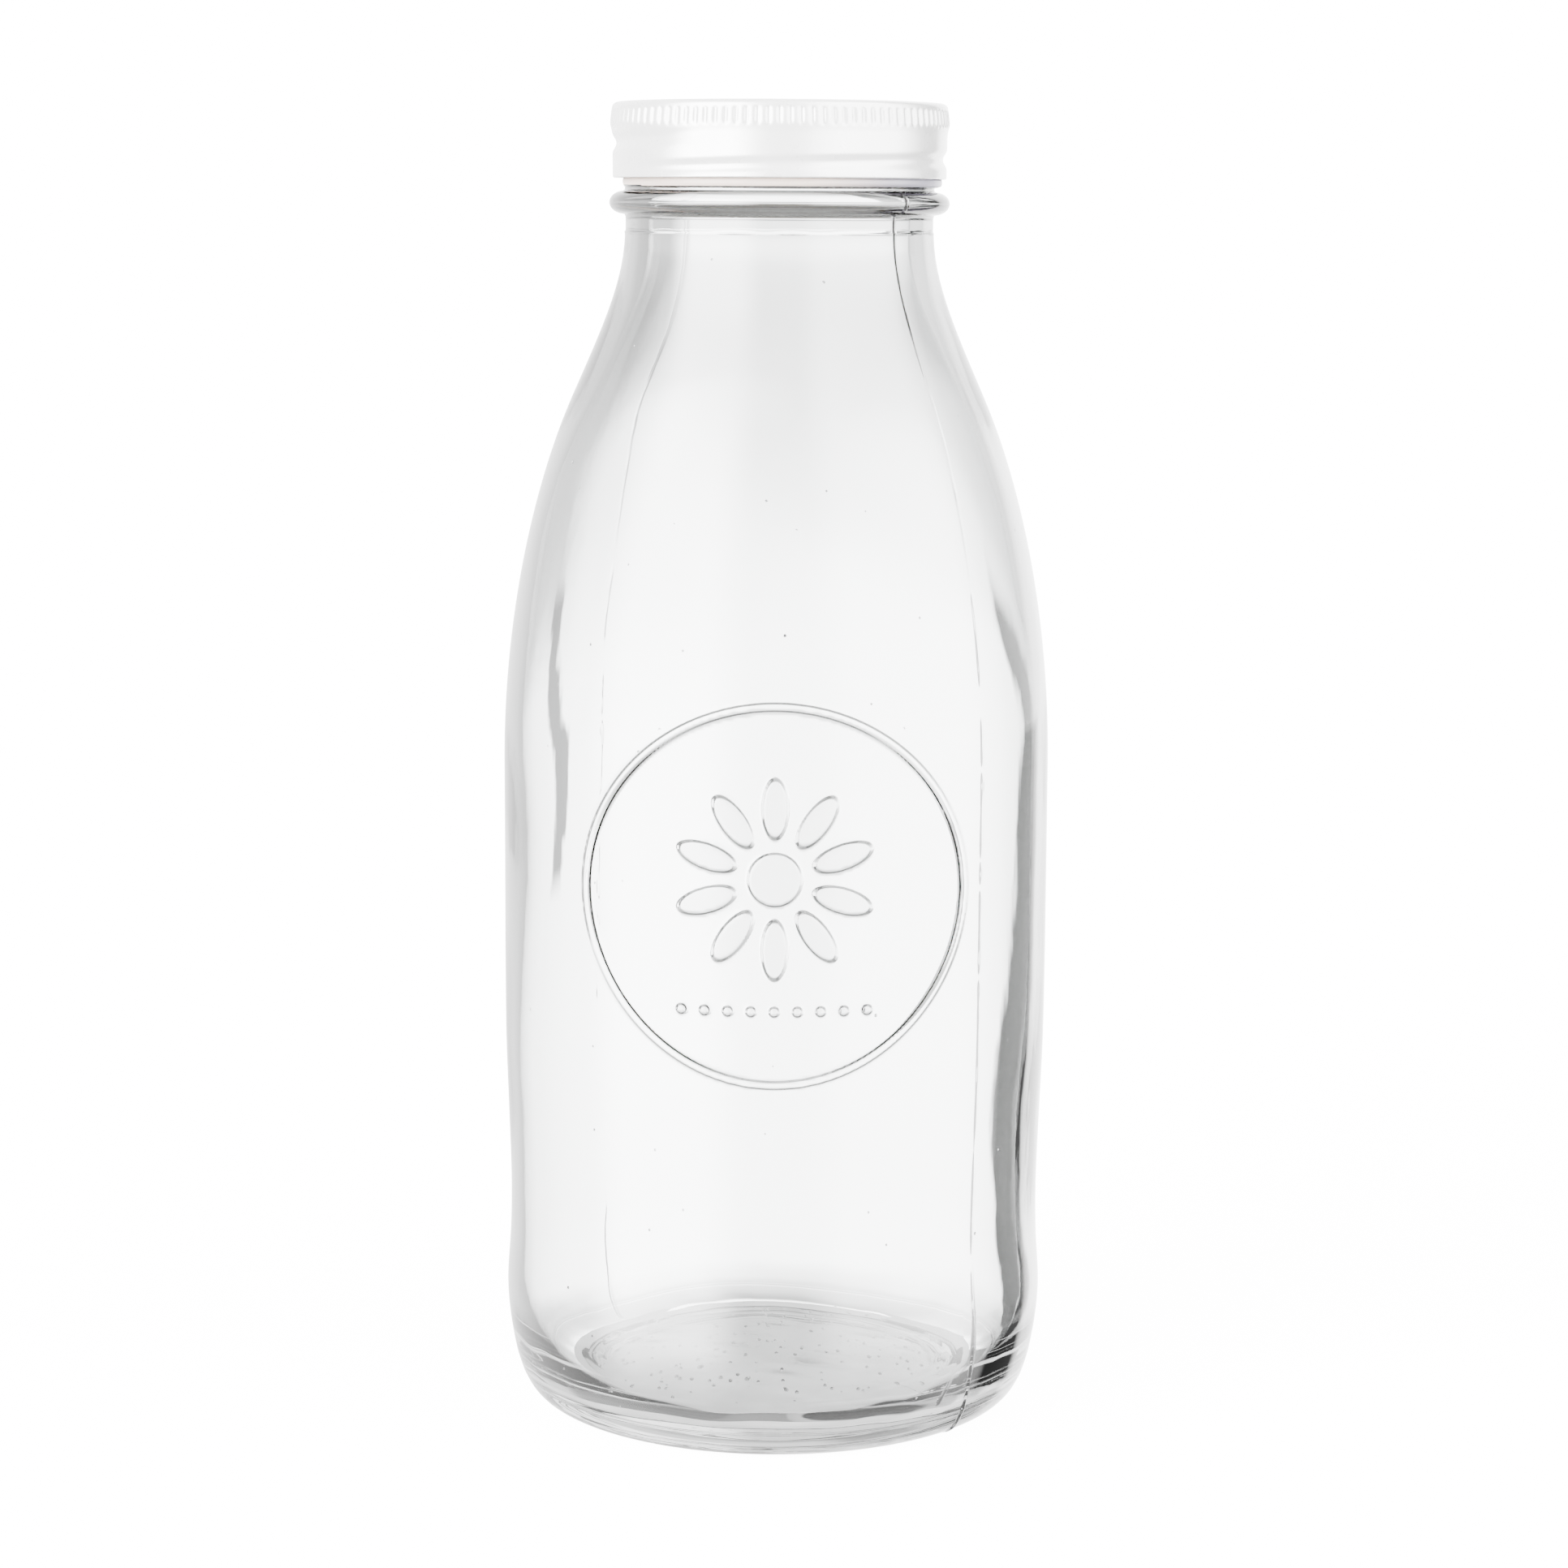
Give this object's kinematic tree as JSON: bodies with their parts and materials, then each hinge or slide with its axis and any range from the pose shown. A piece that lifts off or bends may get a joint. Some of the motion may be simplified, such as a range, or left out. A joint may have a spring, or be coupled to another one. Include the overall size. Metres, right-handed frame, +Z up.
{
  "type": "glass milk bottle with screw cap",
  "caption": "Clear round glass milk bottle with a long sloping shoulder, a ringed screw finish, a raised daisy panel and a white knurled metal cap.",
  "frame": {"origin": "centre of the flat bearing ring the bottle stands on", "axes": "+Z up along the bottle's axis to the cap; the raised emblem faces -Y"},
  "size_m": [0.0818, 0.0823, 0.1953],
  "materials": {
    "clear_glass": "clear colourless flint glass, glossy, with faint mould seams",
    "white_coat": "satin pearl white enamel on pressed tinplate",
    "liner_foam": "grey foam sealing disc, matte"
  },
  "bodies": {
    "bottle": {"glass_bottle": "clear_glass"},
    "liner": {"cap_liner": "liner_foam"},
    "cap": {"cap_shell": "white_coat"}
  },
  "joints": [
    {"name": "cap_rise", "type": "slide", "parent": "bottle", "child": "liner", "axis": [0, 0, 1], "range_m": [0, 0.0128]},
    {"name": "cap_turn", "type": "hinge", "parent": "liner", "child": "cap", "pos_m": [0, 0, 0.19], "axis": [0, 0, 1], "range_deg": [0, 1080]}
  ],
  "couplings": [
    {"joint": "cap_rise", "follows": "cap_turn", "m_per_rad": 0.00067376}
  ]
}
